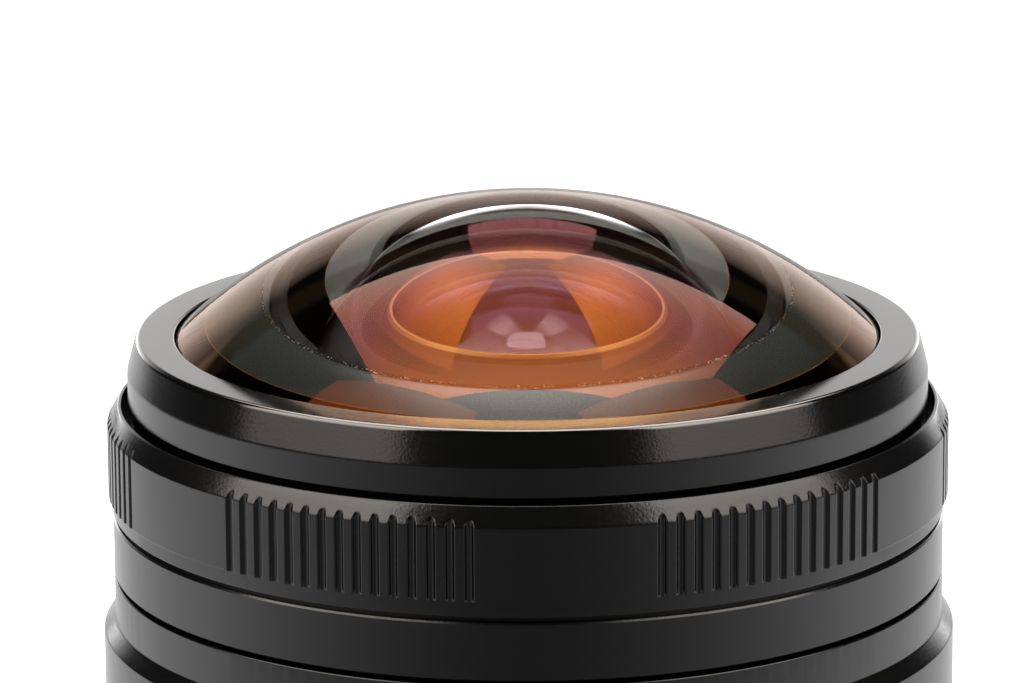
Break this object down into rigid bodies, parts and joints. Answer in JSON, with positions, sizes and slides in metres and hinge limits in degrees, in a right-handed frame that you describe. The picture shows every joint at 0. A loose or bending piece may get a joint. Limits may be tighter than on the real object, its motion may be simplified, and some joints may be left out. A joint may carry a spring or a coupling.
{
  "type": "fisheye lens",
  "caption": "Compact manual fisheye lens with a domed front element, fluted aperture ring, focus ring and bayonet mount.",
  "frame": {"origin": "on the optical axis at the rear end of the bayonet spigot", "axes": "+Z along the optical axis, out of the front element; -Y is the side seen in the picture"},
  "size_m": [0.061, 0.061, 0.064],
  "materials": {
    "black_anodised": "satin black anodised, turned",
    "mount_steel": "turned and polished",
    "screw_steel": "bright",
    "black_screw": "black oxide",
    "index_bead": "glossy",
    "inner_aluminium": "dark anodised",
    "cam_brass": "turned",
    "slip_plastic": "smooth",
    "slip_black": "smooth",
    "blackened_cell": "matte black anodised",
    "front_glass": "polished and coated",
    "inner_glass": "polished and coated",
    "seal_rubber": "matte",
    "amber_film": "clear amber film",
    "matte_mask": "grainy matte paint",
    "arm_steel": "stamped",
    "blade_steel": "thin blackened sheet"
  },
  "bodies": {
    "root": {"lens_mount": "mount_steel", "mount_screws": "screw_steel", "rear_baffle": "blackened_cell", "baffle_screws": "screw_steel", "rear_barrel": "black_anodised", "alignment_bead": "index_bead", "guide_tube": "inner_aluminium", "guide_tube_screws": "screw_steel", "sleeve_retainer": "inner_aluminium", "thrust_washer": "slip_plastic", "focus_stop_pin": "screw_steel"},
    "focus": {"focus_ring": "black_anodised", "cam_sleeve": "cam_brass", "focus_grub_screws": "black_screw"},
    "optical_block": {"front_barrel": "black_anodised", "inner_barrel": "inner_aluminium", "barrel_screws": "screw_steel", "cam_followers": "cam_brass", "front_element": "front_glass", "front_gasket": "seal_rubber", "front_shim": "amber_film", "front_mask": "matte_mask", "front_bezel": "black_anodised", "second_cell": "blackened_cell", "second_element": "inner_glass", "second_retainer": "blackened_cell", "third_element": "inner_glass", "third_retainer": "blackened_cell", "rear_cell": "blackened_cell", "fourth_element": "inner_glass", "rear_spacer": "blackened_cell", "doublet_crown": "inner_glass", "doublet_flint": "inner_glass", "rear_retainer": "blackened_cell", "group_screws": "screw_steel", "iris_base": "blackened_cell", "iris_cover": "blackened_cell", "iris_screws": "screw_steel", "slip_washer": "slip_black"},
    "aperture": {"aperture_ring": "black_anodised", "drive_arm": "arm_steel", "drive_arm_screws": "screw_steel", "iris_cam_ring": "arm_steel"},
    "blade_1": {"iris_blade_1": "blade_steel"},
    "blade_2": {"iris_blade_2": "blade_steel"},
    "blade_3": {"iris_blade_3": "blade_steel"},
    "blade_4": {"iris_blade_4": "blade_steel"},
    "blade_5": {"iris_blade_5": "blade_steel"},
    "blade_6": {"iris_blade_6": "blade_steel"}
  },
  "joints": [
    {"name": "focus_turn", "type": "hinge", "parent": "root", "child": "focus", "pos_m": [0, 0, 0.026], "axis": [0, 0, 1], "range_deg": [0, 90]},
    {"name": "focus_slide", "type": "slide", "parent": "root", "child": "optical_block", "axis": [0, 0, 1], "range_m": [0, 0.0006]},
    {"name": "aperture_turn", "type": "hinge", "parent": "optical_block", "child": "aperture", "pos_m": [0, 0, 0.0455], "axis": [0, 0, 1], "range_deg": [0, 48]},
    {"name": "blade_1_swing", "type": "hinge", "parent": "optical_block", "child": "blade_1", "pos_m": [0.012, 0, 0.0325], "axis": [0, 0, 1], "range_deg": [0, 23.6]},
    {"name": "blade_2_swing", "type": "hinge", "parent": "optical_block", "child": "blade_2", "pos_m": [0.006, 0.01039, 0.0325], "axis": [0, 0, 1], "range_deg": [0, 23.6]},
    {"name": "blade_3_swing", "type": "hinge", "parent": "optical_block", "child": "blade_3", "pos_m": [-0.006, 0.01039, 0.0325], "axis": [0, 0, 1], "range_deg": [0, 23.6]},
    {"name": "blade_4_swing", "type": "hinge", "parent": "optical_block", "child": "blade_4", "pos_m": [-0.012, 0, 0.0325], "axis": [0, 0, 1], "range_deg": [0, 23.6]},
    {"name": "blade_5_swing", "type": "hinge", "parent": "optical_block", "child": "blade_5", "pos_m": [-0.006, -0.01039, 0.0325], "axis": [0, 0, 1], "range_deg": [0, 23.6]},
    {"name": "blade_6_swing", "type": "hinge", "parent": "optical_block", "child": "blade_6", "pos_m": [0.006, -0.01039, 0.0325], "axis": [0, 0, 1], "range_deg": [0, 23.6]}
  ],
  "couplings": [
    {"joint": "focus_slide", "follows": "focus_turn", "m_per_rad": 0.00038197},
    {"joint": "blade_1_swing", "follows": "aperture_turn", "ratio": 0.49167},
    {"joint": "blade_2_swing", "follows": "aperture_turn", "ratio": 0.49167},
    {"joint": "blade_3_swing", "follows": "aperture_turn", "ratio": 0.49167},
    {"joint": "blade_4_swing", "follows": "aperture_turn", "ratio": 0.49167},
    {"joint": "blade_5_swing", "follows": "aperture_turn", "ratio": 0.49167},
    {"joint": "blade_6_swing", "follows": "aperture_turn", "ratio": 0.49167}
  ]
}
